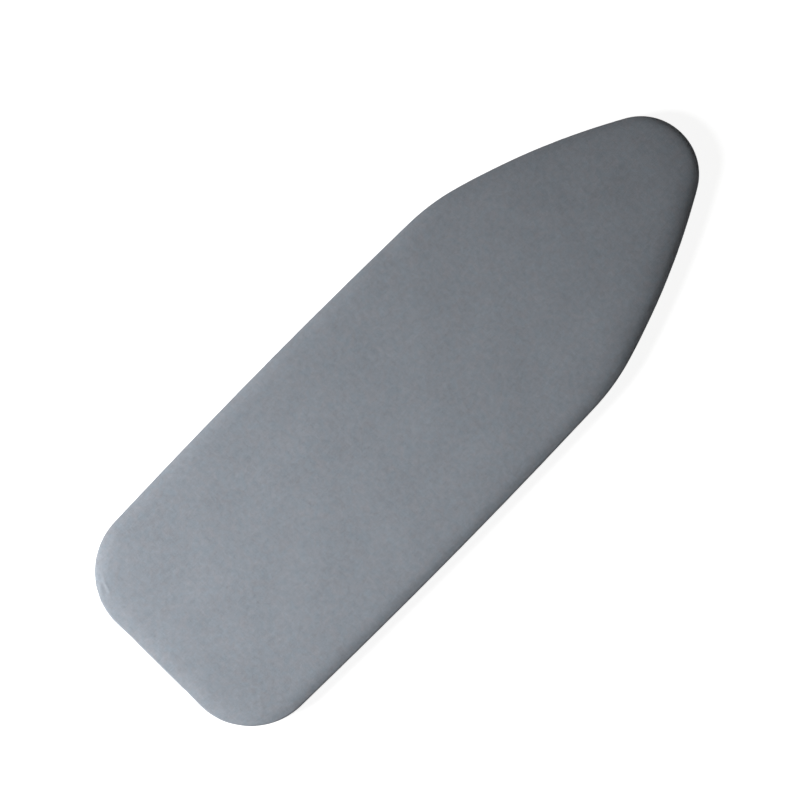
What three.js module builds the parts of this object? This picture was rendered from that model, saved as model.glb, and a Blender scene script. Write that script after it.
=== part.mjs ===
// Ironing board cover in the taut shape it takes on a board: a padded top, a gathered
// hem with an elastic inside its binding, and two hook-and-loop straps across the mouth.
// Millimetres, +Z up, nose towards +Y, hem resting on z = 0.
import * as THREE from "three";

// Board that the cover is cut for; the board itself isn't part of the object.
const boardLength = 900;
const boardWidth = 310;
const boardDepth = 20;
const rimRadius = 4;

// Outline of the board: tangent arcs from the tail corner to the nose.
const tailRadius = 79;
const sideRadius = 9150;
const widestFromTail = 396;
const shoulderFromNose = 315;
const shoulderRadius = 282;
const taperRadius = 955;
const noseRadius = 65;

// Layers, from the board outwards, with a small gap under each.
const gap = 0.3;
const feltThickness = 1;
const foamThickness = 4;
const faceThickness = 0.6;
const padEdgeLift = 3;

// Hem under the board: binding tape folded over the edge of the face, elastic in its fold.
const hemReach = 48;
const lowerRollRadius = 8;
const bindingEdgeChamfer = 0.8;
const tapeThickness = 0.5;
const elasticWidth = 7;
const elasticThickness = 0.9;
const hemTuck = 5.5;
const hemRun = 1;

// Gathers, where the outline bends.
const gatherRise = 4;
const tailGathers = 5;
const shoulderGathers = 1;
const noseGathers = 5;
const stepsPerGather = 4;
const sideSteps = 3;
const taperSteps = 4;

// Straps across the mouth: each a hook strap on a sewn anchor, and a loop tab facing it.
const rearStrapPastCorner = 150;
const frontStrapBeforeShoulder = 40;
const strapWidth = 25;
const strapThickness = 1.2;
const strapCornerRadius = 6;
const anchorLap = 12;
const hingeInset = 2;
const strapEndInset = 18;
const tabJogStart = 3;
const tabJogEnd = 12;
const tabReach = 70;
const tapeWidth = 20;
const touchTapeThickness = 1.2;
const hookTapeInset = 22;
const hookTapeLength = 40;
const loopTapeInset = 15;
const loopTapeLength = 50;

// Colours.
const faceColour = 0x767a7f;
const foamColour = 0xd9d3c2;
const feltColour = 0xdcdad4;
const bindingColour = 0x5c6066;
const elasticColour = 0xe4e2dc;
const strapColour = 0x3c3f44;
const touchTapeColour = 0x2c2e32;

// Heights that follow from the sizes above.
const bindingHeight = elasticThickness + 2 * gap + 2 * tapeThickness;
const strapLevel = bindingHeight + gap;
const hookTapeLevel = strapLevel + strapThickness + gap;
const loopTapeLevel = hookTapeLevel + touchTapeThickness + gap;
const tabLevel = loopTapeLevel + touchTapeThickness + gap;
const strapTop = tabLevel + strapThickness;
const boardBottom = Math.max(strapTop, bindingHeight + gatherRise) + gap;
const boardTop = boardBottom + boardDepth;

// Distances of the layers from the board.
const feltInside = gap;
const feltOutside = feltInside + feltThickness;
const foamInside = feltOutside + gap;
const foamOutside = foamInside + foamThickness;
const faceInside = foamOutside + gap;
const faceOutside = faceInside + faceThickness;
const bindingWidth = hemTuck + elasticWidth + tapeThickness + 2 * gap;
const bindingStart = bindingWidth - hemReach;

const sideCentre = new THREE.Vector2(boardWidth / 2 - sideRadius, widestFromTail);

// Half-width of the board at a distance from its tail, along the side arc.
function sideHalfWidth(fromTail) {
  const rise = fromTail - widestFromTail;
  return sideCentre.x + Math.sqrt(sideRadius ** 2 - rise ** 2);
}

// Centre of an arc that touches two smaller arcs from outside, on the left of the line between them.
function coveringCentre(first, firstRadius, second, secondRadius, radius) {
  const toFirst = radius - firstRadius;
  const toSecond = radius - secondRadius;
  const line = second.clone().sub(first);
  const apart = line.length();
  const along = (toFirst ** 2 - toSecond ** 2 + apart ** 2) / (2 * apart);
  const aside = Math.sqrt(toFirst ** 2 - along ** 2);
  line.divideScalar(apart);
  const left = new THREE.Vector2(-line.y, line.x);
  return first.clone().addScaledVector(line, along).addScaledVector(left, aside);
}

function angleTo(centre, point) {
  return Math.atan2(point.y - centre.y, point.x - centre.x);
}

// Arcs of the right half, tail to nose; gathered arcs have four steps in each fold.
function halfOutlineArcs() {
  const tailDrop = tailRadius - widestFromTail;
  const tailReach = Math.sqrt((sideRadius - tailRadius) ** 2 - tailDrop ** 2);
  const tailCentre = new THREE.Vector2(sideCentre.x + tailReach, tailRadius);
  const shoulderStart = boardLength - shoulderFromNose;
  const shoulderAngle = Math.asin((shoulderStart - widestFromTail) / sideRadius);
  const toShoulder = sideRadius - shoulderRadius;
  const shoulderCentre = new THREE.Vector2(
    sideCentre.x + toShoulder * Math.cos(shoulderAngle),
    sideCentre.y + toShoulder * Math.sin(shoulderAngle),
  );
  const noseCentre = new THREE.Vector2(0, boardLength - noseRadius);
  const taperCentre = coveringCentre(
    shoulderCentre,
    shoulderRadius,
    noseCentre,
    noseRadius,
    taperRadius,
  );
  const tailEnd = angleTo(sideCentre, tailCentre);
  const shoulderEnd = angleTo(taperCentre, shoulderCentre);
  const taperEnd = angleTo(taperCentre, noseCentre);
  const plain = (centre, radius, from, to, steps) => ({ centre, radius, from, to, steps });
  const folded = (centre, radius, from, to, folds) => ({
    ...plain(centre, radius, from, to, folds * stepsPerGather),
    gathered: true,
  });
  return [
    folded(tailCentre, tailRadius, -Math.PI / 2, tailEnd, tailGathers),
    plain(sideCentre, sideRadius, tailEnd, shoulderAngle, sideSteps),
    folded(shoulderCentre, shoulderRadius, shoulderAngle, shoulderEnd, shoulderGathers),
    plain(taperCentre, taperRadius, shoulderEnd, taperEnd, taperSteps),
    folded(noseCentre, noseRadius, taperEnd, Math.PI / 2, noseGathers / 2),
  ];
}

// Stations round the board's edge, counter-clockwise from the right tail corner, each with
// its outward normal and its share of the gathers' rise.
function outlineStations(arcs) {
  const right = [];
  for (const arc of arcs) {
    const first = right.length ? 1 : 0;
    for (let step = first; step <= arc.steps; step += 1) {
      const angle = arc.from + ((arc.to - arc.from) * step) / arc.steps;
      const normal = new THREE.Vector2(Math.cos(angle), Math.sin(angle));
      const point = arc.centre.clone().addScaledVector(normal, arc.radius);
      point.y -= boardLength / 2;
      const wave = (1 - Math.cos((2 * Math.PI * step) / stepsPerGather)) / 2;
      right.push({ point, normal, rise: arc.gathered ? wave * gatherRise : 0 });
    }
  }
  const mirrored = right.slice(0, -1).reverse();
  const left = mirrored.map(({ point, normal, rise }) => ({
    point: new THREE.Vector2(-point.x, point.y),
    normal: new THREE.Vector2(-normal.x, normal.y),
    rise,
  }));
  return [...right, ...left];
}

const outlineArcs = halfOutlineArcs();
const stations = outlineStations(outlineArcs);

// Stations of one length of the outline, both ends drawn in along the hem by half a gap.
function lengthOfOutline(from, to) {
  const length = [];
  for (let index = from; index <= to; index += 1) length.push(stations[index % stations.length]);
  const atHem = ({ point, normal }) => point.clone().addScaledVector(normal, -hemReach);
  const drawnIn = (end, neighbour) => {
    const share = gap / 2 / atHem(end).distanceTo(atHem(neighbour));
    return {
      point: end.point.clone().lerp(neighbour.point, share),
      normal: end.normal.clone().lerp(neighbour.normal, share),
      rise: THREE.MathUtils.lerp(end.rise, neighbour.rise, share),
    };
  };
  const last = length.length - 1;
  const first = drawnIn(length[0], length[1]);
  const final = drawnIn(length[last], length[last - 1]);
  return [first, ...length.slice(1, last), final];
}

// Line of points that one corner of a section follows: u out from the board's edge, z up.
function cornerLine(path, { u, z, gathered = false }) {
  return path.map(({ point, normal, rise }) => {
    const place = point.clone().addScaledVector(normal, u);
    return new THREE.Vector3(place.x, place.y, z + (gathered ? rise : 0));
  });
}

function solidFrom(lines, indices) {
  const positions = lines.flat().flatMap((p) => [p.x, p.y, p.z]);
  const geometry = new THREE.BufferGeometry();
  geometry.setAttribute("position", new THREE.Float32BufferAttribute(positions, 3));
  geometry.setIndex(indices);
  return geometry;
}

// Faces between the lines of neighbouring corners. The section runs clockwise seen along the
// path, and each face is split the same way whichever way its side of the section runs.
function sideFaces(section, pathLength, sides, steps) {
  const indices = [];
  for (let side = 0; side < sides; side += 1) {
    const next = (side + 1) % section.length;
    const inward = section[side].u >= section[next].u;
    for (let step = 0; step < steps; step += 1) {
      const after = (step + 1) % pathLength;
      const a = side * pathLength + step;
      const b = side * pathLength + after;
      const c = next * pathLength + after;
      const d = next * pathLength + step;
      if (inward) indices.push(a, d, c, a, c, b);
      else indices.push(a, d, b, b, d, c);
    }
  }
  return indices;
}

// Tray: an open section swept round the whole outline, from the top's outside to its inside,
// with a flat top closing each end of the section.
function sweptTray(section) {
  const lines = section.map((corner) => cornerLine(stations, corner));
  const count = stations.length;
  const last = section.length - 1;
  const indices = sideFaces(section, count, last, count);
  const outside = THREE.ShapeUtils.triangulateShape(lines[0], []);
  const inside = THREE.ShapeUtils.triangulateShape(lines[last], []);
  for (const [i, j, k] of outside) indices.push(i, j, k);
  for (const [i, j, k] of inside) indices.push(last * count + i, last * count + k, last * count + j);
  return solidFrom(lines, indices);
}

// Band: a closed section swept round the whole outline.
function sweptBand(section) {
  const lines = section.map((corner) => cornerLine(stations, corner));
  return solidFrom(lines, sideFaces(section, stations.length, section.length, stations.length));
}

// Length of band: a closed section swept along part of the outline, with closed ends.
function sweptLength(section, path) {
  const lines = section.map((corner) => cornerLine(path, corner));
  const count = path.length;
  const indices = sideFaces(section, count, section.length, count - 1);
  const outline = section.map(({ u, z }) => new THREE.Vector2(u, z));
  for (const [i, j, k] of THREE.ShapeUtils.triangulateShape(outline, [])) {
    const start = [i, j, k].map((corner) => corner * count);
    const end = [k, j, i].map((corner) => corner * count + count - 1);
    indices.push(...start, ...end);
  }
  return solidFrom(lines, indices);
}

// Part of a section round a corner of the board's edge, in steps of 45 degrees.
function cornerArc(u, z, radius, fromDegrees, toDegrees) {
  const turn = Math.sign(toDegrees - fromDegrees) * 45;
  const points = [];
  for (let angle = fromDegrees; angle !== toDegrees + turn; angle += turn) {
    const radians = THREE.MathUtils.degToRad(angle);
    points.push({ u: u + radius * Math.cos(radians), z: z + radius * Math.sin(radians) });
  }
  return points;
}

// Section of a layer over the board's rim, between two distances from the board.
function rimOutside(distance) {
  return cornerArc(-rimRadius, boardTop - rimRadius, rimRadius + distance, 90, 0);
}

function rimInside(distance) {
  return cornerArc(-rimRadius, boardTop - rimRadius, rimRadius + distance, 0, 90);
}

function padLayer(inside, outside) {
  const end = boardBottom + padEdgeLift;
  const lip = [{ u: outside, z: end }, { u: inside, z: end }];
  return sweptTray([...rimOutside(outside), ...lip, ...rimInside(inside)]);
}

// Face: over the rim, down the wall, round under the board and into the binding.
function faceLayer() {
  const hemMiddle = bindingHeight / 2;
  const low = hemMiddle - faceThickness / 2;
  const high = hemMiddle + faceThickness / 2;
  const rollU = faceOutside - lowerRollRadius;
  const rollZ = low + lowerRollRadius;
  const hemStart = bindingStart + hemRun;
  const hemEnd = bindingStart - hemTuck;
  return sweptTray([
    ...rimOutside(faceOutside),
    ...cornerArc(rollU, rollZ, lowerRollRadius, 0, -90),
    { u: hemStart, z: low, gathered: true },
    { u: hemEnd, z: low, gathered: true },
    { u: hemEnd, z: high, gathered: true },
    { u: hemStart, z: high, gathered: true },
    ...cornerArc(rollU, rollZ, lowerRollRadius - faceThickness, -90, 0),
    ...rimInside(faceInside),
  ]);
}

// Binding: tape folded round the mouth's edge, open towards the face.
function bindingSection() {
  const end = -hemReach;
  const insideEnd = end + tapeThickness;
  const seam = bindingStart - hemTuck - gap / 2;
  const shoulder = end + bindingEdgeChamfer;
  const lower = tapeThickness;
  const upper = bindingHeight - tapeThickness;
  const section = [
    { u: bindingStart, z: bindingHeight },
    { u: bindingStart, z: upper },
    { u: seam, z: upper },
    { u: insideEnd, z: upper },
    { u: insideEnd, z: lower },
    { u: seam, z: lower },
    { u: bindingStart, z: lower },
    { u: bindingStart, z: 0 },
    { u: seam, z: 0 },
    { u: shoulder, z: 0 },
    { u: end, z: bindingEdgeChamfer },
    { u: end, z: bindingHeight - bindingEdgeChamfer },
    { u: shoulder, z: bindingHeight },
    { u: seam, z: bindingHeight },
  ];
  return section.map((corner) => ({ ...corner, gathered: true }));
}

function elasticBand() {
  const inner = -hemReach + tapeThickness + gap;
  const outer = inner + elasticWidth;
  const lower = tapeThickness + gap;
  const upper = lower + elasticThickness;
  const section = [
    { u: outer, z: upper },
    { u: outer, z: lower },
    { u: inner, z: lower },
    { u: inner, z: upper },
  ];
  return sweptBand(section.map((corner) => ({ ...corner, gathered: true })));
}

// Flat strip lying across the mouth, with rounded corners at its end nearer x = left.
function flatStrip(left, right, width, thickness, cornerRadius) {
  const half = width / 2;
  const shape = new THREE.Shape();
  shape.moveTo(right, half);
  if (cornerRadius) {
    shape.absarc(left + cornerRadius, half - cornerRadius, cornerRadius, Math.PI / 2, Math.PI);
    shape.absarc(left + cornerRadius, cornerRadius - half, cornerRadius, Math.PI, 1.5 * Math.PI);
  } else {
    shape.lineTo(left, half);
    shape.lineTo(left, -half);
  }
  shape.lineTo(right, -half);
  shape.closePath();
  return new THREE.ExtrudeGeometry(shape, { depth: thickness, bevelEnabled: false, curveSegments: 5 });
}

// Loop tab: sewn on the binding, then stepping up over the end of the hook strap.
function steppedTab(edge) {
  const profile = [
    [-edge - anchorLap, strapLevel],
    [-edge + tabJogStart, strapLevel],
    [-edge + tabJogEnd, tabLevel],
    [-edge + tabReach, tabLevel],
  ];
  const upper = profile.map(([x, z]) => [x, z + strapThickness]).reverse();
  const shape = new THREE.Shape([...profile, ...upper].map(([x, z]) => new THREE.Vector2(x, z)));
  const geometry = new THREE.ExtrudeGeometry(shape, { depth: strapWidth, bevelEnabled: false });
  geometry.rotateX(Math.PI / 2);
  geometry.translate(0, strapWidth / 2, 0);
  return geometry;
}

const cover = new THREE.Group();
cover.name = "ironing_board_cover";

function addPiece(name, geometry, colour, y = 0, z = 0) {
  const material = new THREE.MeshStandardMaterial({ color: colour, roughness: 0.9, metalness: 0 });
  const piece = new THREE.Mesh(geometry, material);
  piece.name = name;
  piece.position.set(0, y, z);
  cover.add(piece);
}

// Binding in lengths that meet at the ends of the tail, the sides, the tapers and the nose.
function addBinding() {
  const steps = outlineArcs.map((arc) => arc.steps);
  const sideStart = steps[0];
  const sideEnd = sideStart + steps[1];
  const noseStart = sideEnd + steps[2] + steps[3];
  const mirrored = (index) => stations.length - 1 - index;
  const lengths = {
    right_side: [sideStart, sideEnd],
    right_taper: [sideEnd, noseStart],
    nose: [noseStart, mirrored(noseStart)],
    left_taper: [mirrored(noseStart), mirrored(sideEnd)],
    left_side: [mirrored(sideEnd), mirrored(sideStart)],
    tail: [mirrored(sideStart), stations.length + sideStart],
  };
  for (const [name, [from, to]] of Object.entries(lengths)) {
    const tape = sweptLength(bindingSection(), lengthOfOutline(from, to));
    addPiece(`${name}_binding`, tape, bindingColour);
  }
}

function addStrap(name, fromTail) {
  const edge = sideHalfWidth(fromTail) - hemReach;
  const y = fromTail - boardLength / 2;
  const hinge = edge - hingeInset;
  const anchor = flatStrip(hinge + gap, edge + anchorLap, strapWidth, strapThickness, 0);
  const strap = flatStrip(strapEndInset - edge, hinge, strapWidth, strapThickness, strapCornerRadius);
  const hookStart = hookTapeInset - edge;
  const loopStart = loopTapeInset - edge;
  const hookTape = flatStrip(hookStart, hookStart + hookTapeLength, tapeWidth, touchTapeThickness, 0);
  const loopTape = flatStrip(loopStart, loopStart + loopTapeLength, tapeWidth, touchTapeThickness, 0);
  addPiece(`${name}_strap_anchor`, anchor, strapColour, y, strapLevel);
  addPiece(`${name}_hook_strap`, strap, strapColour, y, strapLevel);
  addPiece(`${name}_hook_tape`, hookTape, touchTapeColour, y, hookTapeLevel);
  addPiece(`${name}_loop_tab`, steppedTab(edge), strapColour, y);
  addPiece(`${name}_loop_tape`, loopTape, touchTapeColour, y, loopTapeLevel);
}

addPiece("face_fabric", faceLayer(), faceColour);
addPiece("foam_pad", padLayer(foamInside, foamOutside), foamColour);
addPiece("felt_backing", padLayer(feltInside, feltOutside), feltColour);
addBinding();
addPiece("hem_elastic", elasticBand(), elasticColour);
addStrap("rear", tailRadius + rearStrapPastCorner);
addStrap("front", boardLength - shoulderFromNose - frontStrapBeforeShoulder);

export default cover;
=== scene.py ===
"""Looks of the ironing board cover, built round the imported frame.

Sizes below are millimetres in the frame's axes: +Z up, nose towards +Y, hem at z = 0.
"""

import math

import bmesh
import bpy
import numpy as np
from mathutils import Matrix, Vector, noise


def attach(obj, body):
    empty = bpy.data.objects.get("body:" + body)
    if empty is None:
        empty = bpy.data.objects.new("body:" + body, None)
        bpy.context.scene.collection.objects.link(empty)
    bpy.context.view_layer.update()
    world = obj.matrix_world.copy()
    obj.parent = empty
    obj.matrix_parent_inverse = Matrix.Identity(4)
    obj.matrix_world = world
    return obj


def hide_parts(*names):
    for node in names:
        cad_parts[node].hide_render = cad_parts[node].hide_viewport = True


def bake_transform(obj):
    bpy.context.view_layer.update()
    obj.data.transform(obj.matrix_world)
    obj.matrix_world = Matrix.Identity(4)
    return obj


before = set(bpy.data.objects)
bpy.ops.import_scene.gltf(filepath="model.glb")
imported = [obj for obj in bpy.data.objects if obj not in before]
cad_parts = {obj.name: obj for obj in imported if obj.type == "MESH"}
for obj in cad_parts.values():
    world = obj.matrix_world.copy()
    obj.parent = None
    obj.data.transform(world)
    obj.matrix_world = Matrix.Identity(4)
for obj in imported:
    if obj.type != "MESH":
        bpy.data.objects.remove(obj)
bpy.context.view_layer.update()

SCENE = bpy.context.scene
MM = 0.001
TINY = 1e-9

# Outline of the board: tangent arcs from the tail corner to the nose.
BOARD_LENGTH = 900.0
BOARD_WIDTH = 310.0
TAIL_RADIUS = 79.0
SIDE_RADIUS = 9150.0
WIDEST_FROM_TAIL = 396.0
SHOULDER_FROM_NOSE = 315.0
SHOULDER_RADIUS = 282.0
TAPER_RADIUS = 955.0
NOSE_RADIUS = 65.0

# Stations along each part of the half outline: tail edge, tail corner, side, shoulder, taper, nose.
TAIL_EDGE_STEPS = 18
TAIL_STEPS = 84
SIDE_STEPS = 110
SHOULDER_STEPS = 22
TAPER_STEPS = 56
NOSE_STEPS = 48
TAIL_FOLDS = 5.0
SHOULDER_FOLDS = 1.0
NOSE_FOLDS = 2.5

# Section of the layers, as distances from the board and heights.
RIM_RADIUS = 4.0
RIM_HEIGHT = 24.8
RIM_STEPS = 6
FACE_OUT = 6.5
FACE_THICKNESS = 0.6
FOAM_OUT = 5.6
FOAM_IN = 1.6
FELT_OUT = 1.3
FELT_IN = 0.3
PAD_GAP = 0.3
PAD_END = 11.8
PAD_TURN = 12.2
FOAM_TURN_OUT = 13.0
FOAM_TURN_IN = 13.4
FOAM_ROUND = 0.5
FELT_TURN = 12.3
FELT_ROUND = 0.3
PAD_RINGS = 10
INSIDE = 1.0
ROLL_RADIUS = 8.0
HEM_LOW = 0.95
HEM_REACH = 48.0
HEM_START = -33.4
HEM_END = -39.9
BINDING_START = -34.4
BINDING_STOPS = (-36.6, -39.5, -43.0)
BINDING_INSIDE = -40.0
BINDING_HEIGHT = 2.5
FOLD_STEPS = (6, 4)
LIP_WIDE = 0.15
LIP_HIGH = 0.12
TAPE = 0.5
ELASTIC_GAP = 0.3
ELASTIC_WIDTH = 7.0
ELASTIC_THICK = 0.9
ELASTIC_RIB = 0.06
ELASTIC_RIBS = 8
HEM_SEAM = -36.4
LAP_START = -9.0
LAP_END = 7.0
LAP_STEPS = 16
LAP_GAP = 0.03
LAP_THICK = 0.45
LAP_SHIFT = 0.4
LAP_LAYER = 2.0
TACKS = (LAP_START + 1.2, LAP_START + 2.6, LAP_END - 2.6, LAP_END - 1.2)
TACK_ENDS = (BINDING_START - 1.0, -HEM_REACH + 1.6)
SEAM_OVER_LAP = (LAP_START + 0.6, LAP_END - 0.6)

# Gathers of the hem: their heights, and each unevenness's pitch and seed.
FOLD_RISE = 3.5
FOLD_EVEN = 0.72
FOLD_UNEVEN = 0.5
FOLD_WANDER = 0.16
SMALL_RISE = 1.0
RUCHE_RISE = 0.9
RUCHE_LEAST = 0.1
RUCHE_UNEVEN = 1.5
GATHER_BLUR = 6
PULL_BLUR = 10
WANDER_RIPPLE = (30, 3.1)
SMALL_RIPPLE = (5, 8.7)
FOLD_RIPPLE = (11, 1.9)
RUCHE_RIPPLE = (9, 5.3)

# Puckers of the face under the rim, and the slow unevenness of its padded top.
PUCKER = 1.5
SLOW_PUCKER = 0.5
PUCKER_RIPPLE = (9, 12.4)
SLOW_RIPPLE = (60, 21.0)
WALL_PUCKER = 0.3
WALL_SHARES = (0.25, 0.5, 0.75)
ROLL_STEPS = 8
RETURN_STEPS = 12
RETURN_BEND = 1.15
TOP_LIFT = 0.16
WIDE_SWELL = (70.0, 4.0)
WIDE_SWELL_HIGH = 0.22
SMALL_SWELL = (28.0, 9.0)
SMALL_SWELL_HIGH = 0.1
SWELL_FADE = 5.0

# Padded edge from the wall's top inwards: that top's height, then arc lengths, each with the tilt
# reached after it.
SIDE_EDGE = (
    26.6, (0.0, 90.0), (5.2, 26.0), (3.0, 24.5), (3.4, 19.0), (4.9, 10.0), (7.2, 3.0),
    (10.0, 1.4), (45.0, 0.4),
)
TAIL_EDGE = (
    30.2, (0.0, 90.0), (3.0, 14.0), (4.6, 12.4), (5.6, 9.2), (6.0, 4.6), (8.0, 2.0),
    (12.0, 1.0), (45.0, 0.4),
)
TAPER_EDGE = (
    23.15, (0.0, 90.0), (5.8, 35.5), (2.7, 32.5), (2.9, 27.5), (2.4, 23.0), (2.6, 18.8),
    (2.8, 15.4), (3.7, 12.2), (4.6, 9.6), (6.0, 6.6), (6.0, 3.6), (10.0, 1.7), (30.0, 0.5),
)
NOSE_EDGE = (
    24.89, (0.0, 90.0), (6.2, 37.0), (2.6, 28.0), (2.4, 20.5), (2.6, 15.0), (3.4, 10.5),
    (6.0, 6.8), (8.0, 4.8), (12.0, 3.4), (40.0, 1.2),
)
TAPER_FROM = 60.0
TAPER_TO = 300.0
TAIL_FACING = 0.8
TAIL_TURN = 0.2
NOSE_FACING = 0.45
NOSE_TURN = 0.45
CURVE_STEPS = 2000
EDGE_DISTANCES = np.array([
    0.0, 0.06, 0.2, 0.45, 0.8, 1.3, 1.9, 2.6, 3.4, 4.3, 5.2, 6.1, 7.0, 8.0, 9.0, 10.0, 11.1, 12.2,
    13.3, 14.5, 16.0, 18.0, 20.5, 24.0, 30.0, 38.0, 48.0, 61.5,
])
SPINE_RISE = 0.3
# Rim lightened partly as wear, partly as a painted highlight: its place and width on the edge, its
# share on the wall and its fade down the wall.
WEAR_HIGHLIGHT_PLACE = 2.5
WEAR_HIGHLIGHT_WIDTH = 3.5
WEAR_HIGHLIGHT_WALL = 0.6
WEAR_HIGHLIGHT_FADE = 0.72

# Small creases at the tail's corners: points along each, its height and its width.
CREASE_END = 0.12
CREASES = (
    (((-120.7, -428.8), (-113.0, -432.8), (-106.8, -435.0), (-100.5, -436.7)), 0.6, 1.6),
    (((-112.6, -435.7), (-107.8, -437.7), (-102.9, -439.5)), -0.4, 1.4),
    (((-116.1, -437.6), (-109.6, -442.7), (-100.4, -446.9)), 0.5, 1.6),
    (((110.4, -389.5), (116.5, -403.3), (129.8, -411.7)), 0.22, 2.2),
)

# Settling of the cloth as the elastic draws it in.
SIM_SCALE = 10.0
SIM_FRAMES = 20
GROWTH = 0.06
CLOTH = {
    "quality": 6,
    "mass": 0.3,
    "tension_stiffness": 30.0,
    "compression_stiffness": 30.0,
    "shear_stiffness": 12.0,
    "bending_stiffness": 1.2,
    "tension_damping": 20.0,
    "compression_damping": 20.0,
    "shear_damping": 10.0,
    "bending_damping": 1.0,
    "vertex_group_mass": "held",
    "vertex_group_shrink": "kept",
    "shrink_min": -GROWTH,
    "shrink_max": 0.0,
}
HELD_EDGE_RINGS = 6
HELD_HEM_RINGS = 3
SLIDE_MOST = 1.2
DROP_MOST = 4.0
WALL_SWELL = 0.1
RETURN_SWELL = 0.45
SWELL_CHANGE = 6.0
LOWEST = 0.1
MERGE = 0.01

# Spine that the top's mesh runs in to.
SPINE_TAIL = -300.0
SPINE_NOSE = 335.0
TOP_RINGS = 18
TOP_SPACING = 0.85

# Straps: each one's place along the board, the hem's edge there, and the sizes that both share.
REAR_STRAP = -221.0
REAR_EDGE = 105.4759
REAR_SEED = 11
FRONT_STRAP = 95.0
FRONT_EDGE = 105.7868
FRONT_SEED = 23
STRAP_WIDTH = 25.0
STRAP_LOW = 2.8
STRAP_THICK = 1.2
STRAP_LAP = 12.0
STRAP_END = 18.0
STRAP_ROUND = 6.0
STRAP_SAG = 1.5
SAG_START = 6.0
SAG_END = -35.0
HINGE_INSET = 2.0
FINE_RUN = 10.0
FINE_STEP = 0.5
COARSE_STEP = 2.5
LAP_STEP = 2.0
END_STEPS = 8
TAB_REACH = 70.01
TAB_STEP_FROM = 3.0
TAB_STEP_TO = 12.0
TAB_STEP = 4.5
HOOK_START = 22.0
HOOK_LENGTH = 40.0
HOOK_LOW = 4.3
HOOK_HIGH = 5.5
LOOP_START = 15.0
LOOP_LENGTH = 50.0
LOOP_LOW = 5.8
LOOP_HIGH = 7.0
LOOP_TOP = 8.5
TAPE_HALF = 10.0
TAPE_BASE = 0.55
TAPE_SEAM = 8.7
TAPE_MARGIN = 1.3
SEWN_HALF = 10.6
SEWN_FROM = 1.2
SEWN_TO = 10.6
STRAP_CLEAR = 18.0
STRAP_FADE = 20.0
SIDES_FROM = 100.0
WEB_COLUMNS = 41
WEB_RIB = 0.07
WEB_FLAT = 0.95
WEB_ROUND = 0.05
WEB_THIN = 0.02

# Hook and loop tapes: their bases, then the hooks and the loops on them.
SLAB_ROWS = 21
PILE_MARGIN = 2.0
PILE_END = 1.8
HOOK_MARGIN = 2.2
HOOK_PITCH = 1.9
HOOK_SPACING = 1.7
HOOK_STAGGER = 0.6
HOOK_JITTER = 0.12
HOOK_SHORT = 0.06
HOOK_STEM = ((0.0, -0.1), (0.0, 0.25))
HOOK_BEND = ((0.16, 0.08), (0.42, 0.04), (0.58, 0.24))
HOOK_RADIUS = 0.11
HOOK_SIDES = 4
LOOP_PITCH = 2.0
LOOP_SPACING = 1.9
LOOP_JITTER = 0.6
LOOP_WIDE = (0.45, 0.8)
LOOP_DEEP = (0.75, 1.0)
LOOP_SHORT = 0.1
LOOP_ROOT = 0.05
LOOP_STEPS = 5
LOOP_RADIUS = 0.08
LOOP_SIDES = 3
TUBE_ALONG_Y = 0.9

# Colours, and the weave's pitch.
FACE_COOL = (0.211, 0.237, 0.268)
FACE_WARM = (0.227, 0.234, 0.256)
FOAM_COLOUR = (0.66, 0.60, 0.50)
FELT_COLOUR = (0.66, 0.645, 0.61)
BINDING_COLOUR = (0.105, 0.115, 0.132)
ELASTIC_COLOUR = (0.74, 0.72, 0.68)
HEM_THREAD_COLOUR = (0.155, 0.168, 0.19)
STRAP_COLOUR = (0.046, 0.05, 0.058)
HOOK_COLOUR = (0.026, 0.028, 0.032)
LOOP_COLOUR = (0.032, 0.034, 0.039)
STRAP_THREAD_COLOUR = (0.075, 0.08, 0.09)
YARN_PITCH = 0.62

# Stitches: length, gap and width, and each bar's sections as place, size and lift.
HEM_STITCH = (3.0, 0.7, 0.55)
TACK_STITCH = (1.9, 0.4, 0.5)
STRAP_STITCH = (2.2, 0.6, 0.5)
STITCH_BAR = ((0, 0.5, -0.6), (0.2, 1, 0.1), (0.8, 1, 0.1), (1, 0.5, -0.6))
STITCH_SIDES = 5
STITCH_FLAT = 0.62
STITCH_LOOK = 0.3


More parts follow.
